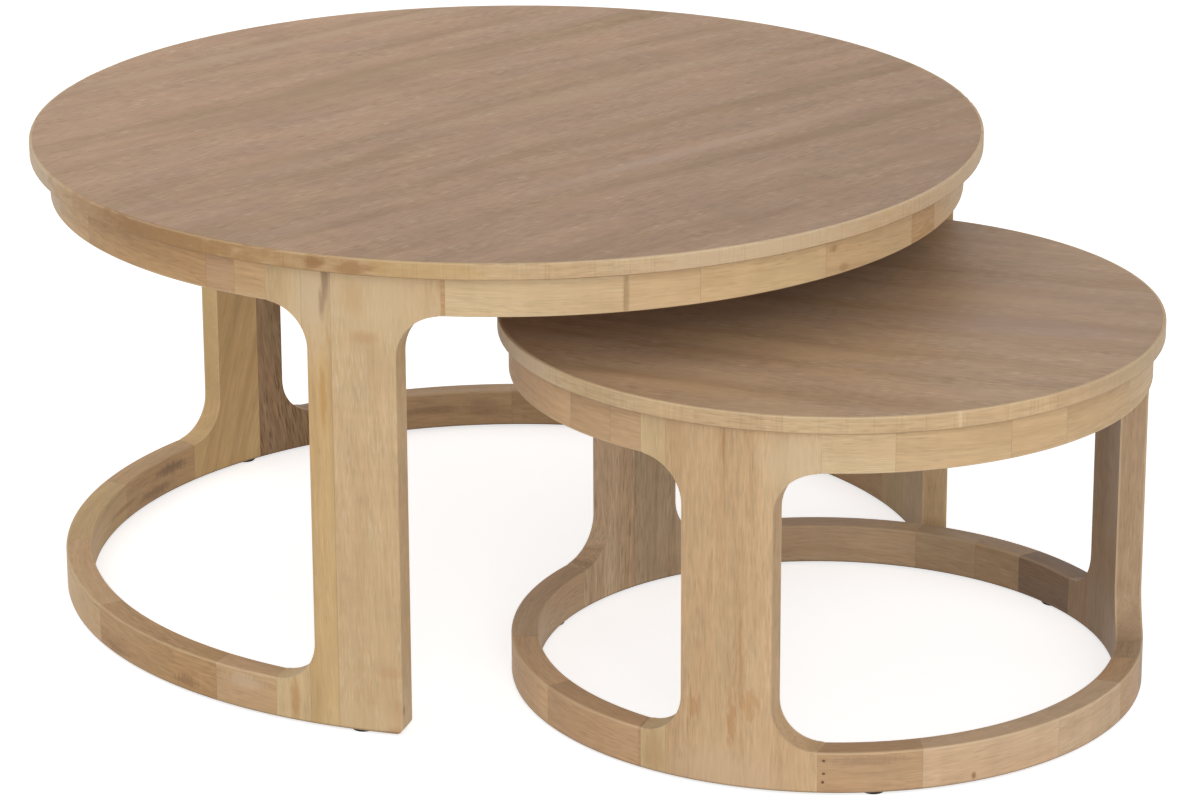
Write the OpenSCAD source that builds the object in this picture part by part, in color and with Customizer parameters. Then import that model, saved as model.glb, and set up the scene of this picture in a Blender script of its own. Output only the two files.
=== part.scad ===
// A pair of round nesting tables. Each has a lipped board top on a drum-shaped frame: three curved
// panel legs, apron rails between them under the top, and a ring of curved segments at the floor.
// The large ring has one open bay, and the small table slides in under the large top through it.
// +X is the slide direction, +Z is up, and the origin is on the floor at the middle of both tables.

/* [Large table] */
// Diameter of the large top
large_top_d = 900; // [890:5:1100]
// Height of the large table, from the floor to its top face
large_h = 450; // [445:1:560]
// How far the large top stands out past its frame
large_overhang = 18; // [4:1:22]
// Angle from the slide direction to the large front leg
large_leg_angle = -65.5; // [-68:0.5:-64]
// Pieces of lipping round the large top
large_lip_pieces = 12; // [6:1:18]
// Angle from the slide direction to a joint in the large lipping
large_lip_angle = -42.4; // [-60:0.1:0]

/* [Small table] */
// Diameter of the small top
small_top_d = 600; // [460:5:605]
// Height of the small table, from the floor to its top face
small_h = 350; // [240:1:355]
// How far the small top stands out past its frame
small_overhang = 10; // [4:1:18]
// Angle from the slide direction to the small front leg
small_leg_angle = -68.5; // [-120:0.1:0]
// Pieces of lipping round the small top
small_lip_pieces = 8; // [6:1:18]
// Angle from the slide direction to a joint in the small lipping
small_lip_angle = -28.4; // [-60:0.1:0]
// Angle from each leg of the small table to its glide
small_glide_angle = 26.2; // [24:0.2:90]

/* [Placement] */
// How far the small table stands out, from the large top's centre to its own
slide_out = 396; // [0:1:900]

/* [Tops] */
// Thickness of both top boards and their lipping
top_t = 15; // [13:0.5:25]
// Width of the solid lipping round each board
lip_w = 3; // [3:0.5:20]
// Rounding of the lipping's upper edge
lip_upper_round = 1.5; // [0.5:0.5:2.5]
// Rounding of the lipping's lower edge
lip_lower_round = 1; // [0.5:0.5:2.5]

/* [Frames] */
// Thickness of legs, rails and rings, measured along a radius
frame_t = 25; // [22:1:32]
// Height of the apron rails
rail_h = 39; // [34:1:46]
// Height of the floor rings
ring_h = 38; // [34:1:50]
// Width of a leg between its rounded corners
leg_w = 82; // [50:1:90]
// Radius where a leg sweeps into the apron and the ring
sweep_r = 40; // [15:1:50]
// Rounding of a foot's corner at the open bay
foot_round = 6; // [2:1:20]
// Gap that the glue fills at a joint
glue_line = 0.1; // [0.05:0.05:0.3]

/* [Dowels] */
// Diameter of a dowel
dowel_d = 8; // [6:0.5:10]
// Length of a dowel
dowel_l = 30; // [24:1:36]
// Distance between the two dowels of a joint, centre to centre
dowel_spacing = 18; // [14:1:20]
// Bevel on a dowel's ends
dowel_bevel = 1; // [0.5:0.5:2]
// Room round a dowel in its hole
dowel_gap = 0.05; // [0.05:0.05:0.2]
// Room past each end of a dowel
dowel_end_gap = 1; // [0.5:0.5:3]

/* [Top screws] */
// Diameter of a screw's shank
screw_d = 4.5; // [3.5:0.5:6]
// Diameter of a screw's pan head
screw_head_d = 9; // [7.5:0.5:11]
// Height of a screw's pan head
screw_head_h = 3; // [2:0.5:4]
// Width of the six-sided socket in the head
screw_socket_w = 4; // [3:0.5:5]
// Depth of the socket in the head
screw_socket_h = 1.5; // [1:0.5:1.5]
// Depth of the counterbore in a rail's underside
screw_recess = 9; // [5:0.5:14]
// How far a screw bites into the top board
screw_bite = 11; // [6:0.5:12]
// Angle from the middle of a rail to each of its two screws
screw_spread = 24; // [10:1:30]
// Room round a screw head in its counterbore
screw_head_gap = 0.75; // [0.25:0.25:2]
// Room round a shank in its rail
screw_gap = 0.25; // [0.1:0.05:0.5]
// Room round a shank in the top board
screw_pilot_gap = 0.05; // [0.05:0.05:0.1]

/* [Glides] */
// Diameter of a nail-on glide
glide_d = 22; // [12:1:24]
// Height of a glide under the frame
glide_h = 2.5; // [2:0.5:6]
// Bevel round a glide's underside
glide_bevel = 1; // [0.5:0.5:1.5]
// Diameter of a glide's nail
glide_nail_d = 2.5; // [2:0.5:4]
// Length of a glide's nail in the wood
glide_nail_l = 14; // [8:1:24]
// Room round and past a glide's nail
glide_nail_gap = 0.05; // [0.05:0.05:0.2]

/* [Hidden] */
$fn = 96;

// How far a cutter runs past the surface that it cuts
past = 1;
// Angle from one leg to the next
leg_step = 120;
// A side lies between a leg and the next one: the outer side faces the slide direction
FRONT = 0;
BACK = 1;
END = 2;
OUTER_SIDE = 0;
BACK_SIDE = 1;
FRONT_SIDE = 2;
SIDES = [OUTER_SIDE, BACK_SIDE, FRONT_SIDE];
// Half of a leg's width at its shoulders, where the sweeps end and the rails begin
shoulder = leg_w / 2 + sweep_r;

// The two centres, with the middle of both tables together at x = 0
reach_back = min(-large_top_d / 2, slide_out - small_top_d / 2);
reach_out = max(large_top_d / 2, slide_out + small_top_d / 2);
large_x = -(reach_back + reach_out) / 2;
small_x = large_x + slide_out;

// A table: centre x, top diameter, height, overhang, front leg's direction, lipping pieces,
// the sides that have a ring segment, the angle from its legs to its glides, and the direction
// of a joint in its lipping
LARGE = [large_x, large_top_d, large_h, large_overhang, large_leg_angle, large_lip_pieces,
         [BACK_SIDE, FRONT_SIDE], 0, large_lip_angle];
SMALL = [small_x, small_top_d, small_h, small_overhang, small_leg_angle, small_lip_pieces,
         SIDES, small_glide_angle, small_lip_angle];

function top_r(t) = t[1] / 2;
function frame_top(t) = t[2] - top_t;
function rail_z(t) = frame_top(t) - rail_h;
function outer_r(t) = top_r(t) - t[3];
function inner_r(t) = outer_r(t) - frame_t;
function middle_r(t) = outer_r(t) - frame_t / 2;
function leg_angle(t, leg) = t[4] + leg * leg_step;
function side_angle(t, side) = leg_angle(t, side) + leg_step / 2;
function lip_pieces(t) = t[5];
function ring_sides(t) = t[6];
function has_ring(t, side) = len(search(side, ring_sides(t))) > 0;
function glide_angle(t, leg) = leg_angle(t, leg) + t[7];
function lip_angle(t, piece) = t[8] + piece * 360 / lip_pieces(t);

// ---- Shared shapes ----

// Puts a table's pieces at its place in the pair
module at_table(t) {
    translate([t[0], 0, 0]) children();
}

// Fills the inside corner at the origin, towards +x and +y, with a concave arc
module sweep_corner(r) {
    difference() {
        square(r);
        translate([r, r]) circle(r);
    }
}

// Cuts the outside corner at the origin, towards +x and +y, to a round one
module round_cutter(r) {
    difference() {
        translate([-past, -past]) square(r + past);
        translate([r, r]) circle(r);
    }
}

// A bevelled rod along +Z from the origin
module bevelled_rod(d, l, bevel) {
    rotate_extrude() polygon([
        [0, 0], [d / 2 - bevel, 0], [d / 2, bevel],
        [d / 2, l - bevel], [d / 2 - bevel, l], [0, l]]);
}

// An arc of the frame's wall, from the angle start round by sweep
module wall_arc(t, z, h, start, sweep) {
    translate([0, 0, z]) rotate([0, 0, start])
        rotate_extrude(angle = sweep) translate([inner_r(t), 0]) square([frame_t, h]);
}

// ---- Dowel joints ----

// Places children at every dowel of one leg's rail joints, or its ring joints, with +Z along the
// dowel and the origin at the joint. Hand -1 is the leg's clockwise shoulder, hand 1 the other.
module at_dowels(t, leg, hands, z, h) {
    across = sqrt(pow(middle_r(t), 2) - pow(shoulder, 2));
    rotate([0, 0, leg_angle(t, leg)])
        for (hand = hands, level = [-1, 1])
            translate([across, hand * shoulder, z + h / 2 + level * dowel_spacing / 2])
                rotate([90, 0, 0]) children();
}

module at_rail_dowels(t, leg) {
    at_dowels(t, leg, [-1, 1], rail_z(t), rail_h) children();
}

// The hands of a leg that meet a ring segment
function ring_hands(t, leg) = [
    if (has_ring(t, (leg + 2) % 3)) -1,
    if (has_ring(t, leg)) 1];

module at_ring_dowels(t, leg) {
    at_dowels(t, leg, ring_hands(t, leg), glide_h, ring_h) children();
}

module dowel() {
    translate([0, 0, -dowel_l / 2]) bevelled_rod(dowel_d, dowel_l, dowel_bevel);
}

module dowel_hole() {
    cylinder(h = dowel_l + 2 * dowel_end_gap, d = dowel_d + 2 * dowel_gap, center = true);
}

// ---- Screws through the rails into the top ----

// Places children at one rail's screws, with the origin at the counterbore's floor
module at_screws(t, side) {
    for (hand = [-1, 1])
        rotate([0, 0, side_angle(t, side) + hand * screw_spread])
            translate([middle_r(t), 0, rail_z(t) + screw_recess]) children();
}

screw_shank_l = rail_h - screw_recess + screw_bite;

// A pan-head screw, head down, with a pointed tip
module screw() {
    tip_l = screw_d;
    difference() {
        translate([0, 0, -screw_head_h]) cylinder(h = screw_head_h, d = screw_head_d);
        translate([0, 0, -screw_head_h - past])
            cylinder(h = screw_socket_h + past, d = screw_socket_w, $fn = 6);
    }
    rotate_extrude() polygon([
        [0, 0], [screw_d / 2, 0], [screw_d / 2, screw_shank_l - tip_l], [0, screw_shank_l]]);
}

module screw_hole_in_rail() {
    translate([0, 0, -screw_recess - past])
        cylinder(h = screw_recess + past, d = screw_head_d + 2 * screw_head_gap);
    translate([0, 0, -past]) cylinder(h = rail_h + past, d = screw_d + 2 * screw_gap);
}

module screw_hole_in_board() {
    cylinder(h = screw_shank_l, d = screw_d + 2 * screw_pilot_gap);
}

// ---- Glides under the frame ----

module at_glide(t, leg) {
    rotate([0, 0, glide_angle(t, leg)]) translate([middle_r(t), 0, 0]) children();
}

// A disc with a bevelled underside and a nail
module glide() {
    rotate_extrude() polygon([
        [0, 0], [glide_d / 2 - glide_bevel, 0], [glide_d / 2, glide_bevel], [glide_d / 2, glide_h],
        [glide_nail_d / 2, glide_h], [glide_nail_d / 2, glide_h + glide_nail_l - glide_nail_d],
        [0, glide_h + glide_nail_l]]);
}

module glide_hole() {
    translate([0, 0, glide_h - past])
        cylinder(h = glide_nail_l + past + glide_nail_gap, d = glide_nail_d + 2 * glide_nail_gap);
}

// ---- Sub-parts of a table ----

// The board inside the lipping, drilled from below for the screws
module top_board(t) {
    difference() {
        translate([0, 0, frame_top(t)]) cylinder(h = top_t, r = top_r(t) - lip_w - glue_line);
        for (side = SIDES) at_screws(t, side) screw_hole_in_board();
    }
}

module lipping_profile() {
    difference() {
        square([lip_w, top_t]);
        translate([lip_w, top_t]) rotate(180) round_cutter(lip_upper_round);
        translate([lip_w, 0]) mirror([1, 0]) round_cutter(lip_lower_round);
    }
}

// Bent pieces of solid wood, butted end to end round the board
module top_lipping(t) {
    step = 360 / lip_pieces(t);
    joint_angle = glue_line / top_r(t) * 180 / PI;
    for (i = [0 : lip_pieces(t) - 1])
        translate([0, 0, frame_top(t)]) rotate([0, 0, lip_angle(t, i)])
            rotate_extrude(angle = step - joint_angle)
                translate([top_r(t) - lip_w, 0]) lipping_profile();
}

// One side of a leg's outline, from the middle to its +x edge: shaft, shoulder and, where a ring
// segment meets it, a foot. Both are swept into the shaft.
module half_leg_outline(t, meets_ring) {
    ring_top = glide_h + ring_h;
    difference() {
        union() {
            translate([0, glide_h]) square([leg_w / 2, frame_top(t) - glide_h]);
            translate([0, rail_z(t)]) square([shoulder, rail_h]);
            translate([leg_w / 2, rail_z(t)]) mirror([0, 1]) sweep_corner(sweep_r);
            if (meets_ring) {
                translate([0, glide_h]) square([shoulder, ring_h]);
                translate([leg_w / 2, ring_top]) sweep_corner(sweep_r);
            }
        }
        if (!meets_ring)
            translate([leg_w / 2, glide_h]) mirror([1, 0]) round_cutter(foot_round);
    }
}

// A curved panel, flush with the rails and the ring on both faces
module leg(t, which) {
    hands = ring_hands(t, which);
    difference() {
        rotate([0, 0, leg_angle(t, which)]) intersection() {
            wall_arc(t, glide_h, frame_top(t) - glide_h, -leg_step / 2, leg_step);
            rotate([90, 0, 90]) linear_extrude(outer_r(t) + past) union() {
                half_leg_outline(t, len(search(1, hands)) > 0);
                mirror([1, 0]) half_leg_outline(t, len(search(-1, hands)) > 0);
            }
        }
        at_rail_dowels(t, which) dowel_hole();
        at_ring_dowels(t, which) dowel_hole();
        at_glide(t, which) glide_hole();
    }
}

// A curved length of wall between the shoulders of two legs
module between_legs(t, side, z, h) {
    next_leg = (side + 1) % 3;
    difference() {
        wall_arc(t, z, h, leg_angle(t, side), leg_step);
        for (leg = [side, next_leg])
            rotate([0, 0, leg_angle(t, leg)])
                translate([0, -shoulder - glue_line, z - past])
                    cube([outer_r(t) + past, 2 * (shoulder + glue_line), h + 2 * past]);
    }
}

module rail(t, side) {
    difference() {
        between_legs(t, side, rail_z(t), rail_h);
        for (leg = [side, (side + 1) % 3]) at_rail_dowels(t, leg) dowel_hole();
        at_screws(t, side) screw_hole_in_rail();
    }
}

module ring(t, side) {
    difference() {
        between_legs(t, side, glide_h, ring_h);
        for (leg = [side, (side + 1) % 3]) at_ring_dowels(t, leg) dowel_hole();
        for (leg = [FRONT, BACK, END]) at_glide(t, leg) glide_hole();
    }
}

module rail_dowels(t) {
    for (leg = [FRONT, BACK, END]) at_rail_dowels(t, leg) dowel();
}

module ring_dowels(t) {
    for (leg = [FRONT, BACK, END]) at_ring_dowels(t, leg) dowel();
}

module top_screws(t) {
    for (side = SIDES) at_screws(t, side) screw();
}

module glides(t) {
    for (leg = [FRONT, BACK, END]) at_glide(t, leg) glide();
}

// ---- Large table ----

module large_top_board() { color("rosybrown") at_table(LARGE) top_board(LARGE); }
module large_top_lipping() { color("burlywood") at_table(LARGE) top_lipping(LARGE); }
module large_leg_front() { color("tan") at_table(LARGE) leg(LARGE, FRONT); }
module large_leg_back() { color("tan") at_table(LARGE) leg(LARGE, BACK); }
module large_leg_end() { color("tan") at_table(LARGE) leg(LARGE, END); }
module large_rail_outer() { color("burlywood") at_table(LARGE) rail(LARGE, OUTER_SIDE); }
module large_rail_back() { color("burlywood") at_table(LARGE) rail(LARGE, BACK_SIDE); }
module large_rail_front() { color("burlywood") at_table(LARGE) rail(LARGE, FRONT_SIDE); }
module large_ring_back() { color("burlywood") at_table(LARGE) ring(LARGE, BACK_SIDE); }
module large_ring_front() { color("burlywood") at_table(LARGE) ring(LARGE, FRONT_SIDE); }
module large_rail_dowels() { color("wheat") at_table(LARGE) rail_dowels(LARGE); }
module large_ring_dowels() { color("wheat") at_table(LARGE) ring_dowels(LARGE); }
module large_top_screws() { color("silver") at_table(LARGE) top_screws(LARGE); }
module large_glides() { color("dimgray") at_table(LARGE) glides(LARGE); }

// ---- Small table ----

module small_top_board() { color("rosybrown") at_table(SMALL) top_board(SMALL); }
module small_top_lipping() { color("burlywood") at_table(SMALL) top_lipping(SMALL); }
module small_leg_front() { color("tan") at_table(SMALL) leg(SMALL, FRONT); }
module small_leg_back() { color("tan") at_table(SMALL) leg(SMALL, BACK); }
module small_leg_end() { color("tan") at_table(SMALL) leg(SMALL, END); }
module small_rail_outer() { color("burlywood") at_table(SMALL) rail(SMALL, OUTER_SIDE); }
module small_rail_back() { color("burlywood") at_table(SMALL) rail(SMALL, BACK_SIDE); }
module small_rail_front() { color("burlywood") at_table(SMALL) rail(SMALL, FRONT_SIDE); }
module small_ring_outer() { color("burlywood") at_table(SMALL) ring(SMALL, OUTER_SIDE); }
module small_ring_back() { color("burlywood") at_table(SMALL) ring(SMALL, BACK_SIDE); }
module small_ring_front() { color("burlywood") at_table(SMALL) ring(SMALL, FRONT_SIDE); }
module small_rail_dowels() { color("wheat") at_table(SMALL) rail_dowels(SMALL); }
module small_ring_dowels() { color("wheat") at_table(SMALL) ring_dowels(SMALL); }
module small_top_screws() { color("silver") at_table(SMALL) top_screws(SMALL); }
module small_glides() { color("dimgray") at_table(SMALL) glides(SMALL); }

large_top_board();
large_top_lipping();
large_leg_front();
large_leg_back();
large_leg_end();
large_rail_outer();
large_rail_back();
large_rail_front();
large_ring_back();
large_ring_front();
large_rail_dowels();
large_ring_dowels();
large_top_screws();
large_glides();
small_top_board();
small_top_lipping();
small_leg_front();
small_leg_back();
small_leg_end();
small_rail_outer();
small_rail_back();
small_rail_front();
small_ring_outer();
small_ring_back();
small_ring_front();
small_rail_dowels();
small_ring_dowels();
small_top_screws();
small_glides();
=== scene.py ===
import math
import random

import bmesh
import bpy
from mathutils import Matrix, Vector


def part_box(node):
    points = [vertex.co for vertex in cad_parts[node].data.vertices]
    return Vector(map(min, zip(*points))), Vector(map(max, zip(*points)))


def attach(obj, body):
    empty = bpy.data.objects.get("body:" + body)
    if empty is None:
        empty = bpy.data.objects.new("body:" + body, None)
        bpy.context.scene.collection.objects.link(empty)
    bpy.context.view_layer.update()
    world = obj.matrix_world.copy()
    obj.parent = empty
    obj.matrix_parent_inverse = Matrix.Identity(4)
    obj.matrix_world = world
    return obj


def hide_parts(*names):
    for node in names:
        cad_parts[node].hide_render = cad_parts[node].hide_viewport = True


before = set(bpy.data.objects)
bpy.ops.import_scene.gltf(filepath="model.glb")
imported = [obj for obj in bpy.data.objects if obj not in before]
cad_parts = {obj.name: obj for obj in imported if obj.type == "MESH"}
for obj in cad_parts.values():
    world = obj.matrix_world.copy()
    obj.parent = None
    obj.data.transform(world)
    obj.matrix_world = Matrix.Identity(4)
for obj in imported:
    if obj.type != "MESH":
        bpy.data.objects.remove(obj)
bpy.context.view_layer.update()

# ---- Sizes of the tables, in metres and degrees ----

FRAME_T = 0.025      # thickness of legs, rails and rings
RAIL_H = 0.039       # height of a rail
RING_H = 0.038       # height of a ring segment
LEG_HALF_W = 0.041   # half of a leg's width between its sweeps
SWEEP_R = 0.040      # arc where a leg sweeps into its rail or ring
SHOULDER = LEG_HALF_W + SWEEP_R
FOOT_ROUND = 0.006   # foot corner at the open bay
GLIDE_H = 0.0025     # how far the glides hold the frame off the floor
GLUE_GAP = 0.0001    # between a leg's shoulder and the next piece
GLUE_LINE = 0.0003   # width of the line that shows between two staves
STRIP_W = 0.008      # widest strip that a panel is cut into, so that it bends smoothly
ARC_STEP = 5         # turn between two points of a sweep
ARRIS = 0.0018       # easing along the frame's edges
LIP_MIDDLE = 0.0075  # from a top's face down to the middle of its edge
BORE_R = 0.00525     # radius of a top screw's counterbore
BORE_DEEP = 0.009    # depth of the counterbore
BORE_SPREAD = 24     # turn from the middle of a rail to each of its bores
DRILL_SPARE = 0.002  # how far below the rail a drill starts
LEG_TURN = 120       # turn from each leg to the next

LEGS = ("front", "back", "end")
SIDES = {"outer": ("front", "back"), "back": ("back", "end"), "front": ("end", "front")}


class Table:
    """One table's body, centre, radii, heights and leg directions, as the CAD has them.

    overhang is how far the top stands out past the frame, front_leg is the direction of the
    front leg, and rings are the sides that have a segment of the floor ring."""

    def __init__(self, name, overhang, front_leg, rings):
        low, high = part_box(name + "_top_lipping")
        self.name = name
        self.body = name + "_table"
        self.centre = ((low.x + high.x) / 2, (low.y + high.y) / 2)
        self.top_r = (high.x - low.x) / 2
        self.top_z = high.z
        self.outer_r = self.top_r - overhang
        self.middle_r = self.outer_r - FRAME_T / 2
        self.inner_r = self.outer_r - FRAME_T
        self.frame_top = low.z
        self.rail_z = low.z - RAIL_H
        self.leg_angle = {leg: front_leg + LEG_TURN * i for i, leg in enumerate(LEGS)}
        self.rings = rings

    def at(self, radius, degrees, z):
        a = math.radians(degrees)
        return Vector((self.centre[0] + radius * math.cos(a),
                       self.centre[1] + radius * math.sin(a), z))

    def on_leg(self, leg, across, z, deep=0.0):
        """A place on a leg, across from its middle as seen from outside, deep behind its face."""
        rho = self.outer_r - deep
        return self.at(rho, self.leg_angle[leg] + math.degrees(math.asin(across / rho)), z)

    def span(self, side):
        """The directions of the two legs that a side runs between, the second one larger."""
        first, last = (self.leg_angle[leg] for leg in SIDES[side])
        return first, last if last > first else last + 360


LARGE = Table("large", overhang=0.018, front_leg=-65.5, rings=("back", "front"))
SMALL = Table("small", overhang=0.010, front_leg=-68.5, rings=("outer", "back", "front"))

# ---- Camera ----

camera = bpy.data.objects.new("camera", bpy.data.cameras.new("camera"))
camera.data.lens = 136.86
camera.data.sensor_width = 36
camera.data.clip_end = 100
camera.location = (2.727, -3.041, 1.6155)
camera.rotation_euler = [math.radians(a) for a in (70.886, 0.189, 41.883)]
bpy.context.scene.collection.objects.link(camera)
bpy.context.scene.camera = camera


# ---- Node helpers ----

FLOAT, VECTOR, COLOUR = "NodeSocketFloat", "NodeSocketVector", "NodeSocketColor"
MIX_A, MIX_B, MIX_RESULT = 6, 7, 2   # a Mix node's sockets for colours


def add(tree, kind, inputs=None, **settings):
    """Adds a node, and sets its inputs from values or from other nodes' outputs."""
    node = tree.nodes.new(kind)
    for name, value in settings.items():
        setattr(node, name, value)
    for name, value in (inputs or {}).items():
        if isinstance(value, bpy.types.NodeSocket):
            tree.links.new(value, node.inputs[name])
        else:
            node.inputs[name].default_value = value
    return node


def reckon(tree, operation, *values):
    """A sum on numbers."""
    return add(tree, "ShaderNodeMath", dict(enumerate(values)), operation=operation).outputs[0]


def reckon_vector(tree, operation, *values):
    """A sum on vectors."""
    node = add(tree, "ShaderNodeVectorMath", dict(enumerate(values)), operation=operation)
    return node.outputs["Value" if operation == "LENGTH" else "Vector"]


def times(tree, *values):
    result = values[0]
    for value in values[1:]:
        result = reckon(tree, "MULTIPLY", result, value)
    return result


def about_zero(tree, value):
    """A noise that runs from 0 to 1, shifted to vary about 0."""
    return reckon(tree, "SUBTRACT", value, 0.5)


def far_out(tree, a, b):
    """How far two distances at right angles reach together."""
    return reckon(tree, "SQRT", reckon(tree, "ADD", times(tree, a, a), times(tree, b, b)))


def split(tree, vector):
    return add(tree, "ShaderNodeSeparateXYZ", {0: vector}).outputs


def combine(tree, **parts):
    return add(tree, "ShaderNodeCombineXYZ", parts).outputs[0]


def object_place(tree):
    return add(tree, "ShaderNodeTexCoord").outputs["Object"]


def blend_colours(tree, factor, a, b, how="MIX"):
    return add(tree, "ShaderNodeMix", {"Factor": factor, MIX_A: a, MIX_B: b},
               data_type="RGBA", blend_type=how).outputs[MIX_RESULT]


def shade(tree, colour, light):
    """A colour made lighter or darker."""
    return add(tree, "ShaderNodeVectorMath", {0: colour, "Scale": light},
               operation="SCALE").outputs[0]


def noise(tree, place, detail=2.0, roughness=0.5, scale=1.0):
    return add(tree, "ShaderNodeTexNoise", {"Vector": place, "Scale": scale, "Detail": detail,
                                            "Roughness": roughness}).outputs[0]


def grain_noise(tree, board, along, across, detail=2.0, roughness=0.5):
    """Noise drawn out along the grain: along and across are its features per metre."""
    drawn_out = reckon_vector(tree, "MULTIPLY", board, (along, across, across))
    return noise(tree, drawn_out, detail, roughness)


def ramp(tree, factor, low, high):
    """0 at low and 1 at high, smoothly."""
    return add(tree, "ShaderNodeMapRange", {"Value": factor, "From Min": low, "From Max": high},
               interpolation_type="SMOOTHSTEP").outputs[0]


def seen_directly(tree):
    """1 where the camera sees the surface, also in a reflection or through something clear."""
    rays = add(tree, "ShaderNodeLightPath").outputs
    seen = reckon(tree, "MAXIMUM", rays["Is Camera Ray"], rays["Is Glossy Ray"])
    return reckon(tree, "MAXIMUM", seen, rays["Is Transmission Ray"])


def new_group(name, ins, outs):
    """A node group with (name, kind, usual value) inputs and (name, kind) outputs."""
    group = bpy.data.node_groups.new(name, "ShaderNodeTree")
    for label, kind, value in ins:
        socket = group.interface.new_socket(label, in_out="INPUT", socket_type=kind)
        if value is not None:
            socket.default_value = value
    for label, kind in outs:
        group.interface.new_socket(label, in_out="OUTPUT", socket_type=kind)
    return group, add(group, "NodeGroupInput").outputs, add(group, "NodeGroupOutput").inputs


def put_out(group, outs, values):
    for label, value in values.items():
        group.links.new(value, outs[label])


def use_group(tree, group, inputs):
    return add(tree, "ShaderNodeGroup", inputs, node_tree=group).outputs


def tint(red, green, blue):
    """A colour as it reads on a paint card, 0 to 255, made linear."""
    return tuple(((c / 255 + 0.055) / 1.055) ** 2.4 for c in (red, green, blue)) + (1.0,)


# ---- Grain, marks and the way round a table ----

PALE_DASH, DARK_FLECK = tint(232, 214, 186), tint(104, 74, 46)
KNOT_HALO, KNOT_CORE = tint(158, 116, 74), tint(104, 74, 48)
HEART_FAR = 5.0      # a log whose heart is this far off has straight grain
LIP_STEP = 0.37      # how far apart in the log two pieces of lipping were cut
BLUSH = (1.0, 0.93, 0.90, 1.0)
STREAK_CHANGE = 1.6  # how often a wide streak changes along a board, per metre
THIN_LINES = (12.0, 380.0)           # thin ring lines per metre along and across a board

# Layers of the grain: features per metre along and across it, detail and roughness
GRAIN_LAYERS = {
    "wander": (3.0, 8, 1.0, 0.5),
    "fibre": (24, 900, 2.0, 0.6),
    "stroke": (48, 400, 1.0, 0.6),
    "figure": (85, 14, 1.0, 0.5),
    "blotch": (6, 22, 2.0, 0.5),
    "cloud": (15, 48, 2.0, 0.5),
}

# Fine marks: features per metre along and across the grain with their detail, and the range
# that they set in over, then the same for the patches that they gather in
FINE_MARKS = {
    "pore": ((70, 1500, 0.0), (0.60, 0.72), (9, 60, 1.0), (0.42, 0.62)),
    "dash": ((75, 1150, 0.0), (0.56, 0.70), (11, 45, 1.0), (0.44, 0.60)),
    "fleck": ((60, 620, 1.0), (0.52, 0.66), (6, 40, 1.0), (0.42, 0.58)),
}


def make_board_grain():
    """Lacquered wood: x runs along the board, and y and z start from the heart of its log."""
    g, i, outs = new_group(
        "board grain",
        [("Board", VECTOR, None), ("Wood", COLOUR, None), ("Brown", COLOUR, tint(166, 124, 82)),
         ("Streaks", FLOAT, 0.4), ("Streak width", FLOAT, 0.014), ("Blush", FLOAT, 0.5),
         ("Fibre", FLOAT, 0.3), ("Strokes", FLOAT, 0.3), ("Dashes", FLOAT, 0.3),
         ("Flecks", FLOAT, 0.2), ("Figure", FLOAT, 0.1), ("Wander", FLOAT, 0.008)],
        [("Colour", COLOUR), ("Pore mask", FLOAT), ("Height", FLOAT)])
    layer = {name: grain_noise(g, i["Board"], *values) for name, values in GRAIN_LAYERS.items()}

    def fine_marks(name, *strength):
        marks, marks_range, patches, patches_range = FINE_MARKS[name]
        return times(g, ramp(g, grain_noise(g, i["Board"], *marks), *marks_range), *strength,
                     ramp(g, grain_noise(g, i["Board"], *patches), *patches_range))

    pore = fine_marks("pore")
    dash = fine_marks("dash", i["Dashes"])
    fleck = fine_marks("fleck", i["Flecks"])

    # Growth rings round the heart make wide brown streaks and thin lines
    part = split(g, i["Board"])
    ring = reckon(g, "ADD", far_out(g, part["Y"], part["Z"]),
                  times(g, about_zero(g, layer["wander"]), i["Wander"]))
    wide = noise(g, combine(g, X=times(g, part["X"], STREAK_CHANGE),
                            Y=reckon(g, "DIVIDE", ring, i["Streak width"])), 3.0, 0.55)
    thin = noise(g, combine(g, X=times(g, part["X"], THIN_LINES[0]),
                            Y=times(g, ring, THIN_LINES[1])), 2.0, 0.6)

    colour = blend_colours(g, times(g, ramp(g, layer["blotch"], 0.36, 0.64), i["Blush"]),
                           i["Wood"], BLUSH, "MULTIPLY")
    colour = blend_colours(g, times(g, ramp(g, wide, 0.44, 0.76), i["Streaks"]), colour,
                           i["Brown"])
    light = reckon(g, "MULTIPLY_ADD", reckon(g, "SUBTRACT", 0.5, wide),
                   times(g, i["Streaks"], 0.5), 1.0)
    for lines, amount in ((thin, times(g, i["Fibre"], 0.60)), (layer["fibre"], i["Fibre"]),
                          (layer["stroke"], i["Strokes"]), (layer["figure"], i["Figure"]),
                          (layer["cloud"], 0.20)):
        light = reckon(g, "MULTIPLY_ADD", about_zero(g, lines), amount, light)
    light = times(g, light, reckon(g, "SUBTRACT", 1.0, times(g, pore, i["Fibre"], 0.55)))
    colour = shade(g, colour, light)
    colour = blend_colours(g, times(g, dash, 0.55), colour, PALE_DASH)
    colour = blend_colours(g, fleck, colour, DARK_FLECK)
    height = reckon(g, "SUBTRACT", times(g, layer["fibre"], 0.35),
                    reckon(g, "MAXIMUM", pore, fleck))
    put_out(g, outs, {"Colour": colour, "Pore mask": pore, "Height": height})
    return g


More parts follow.
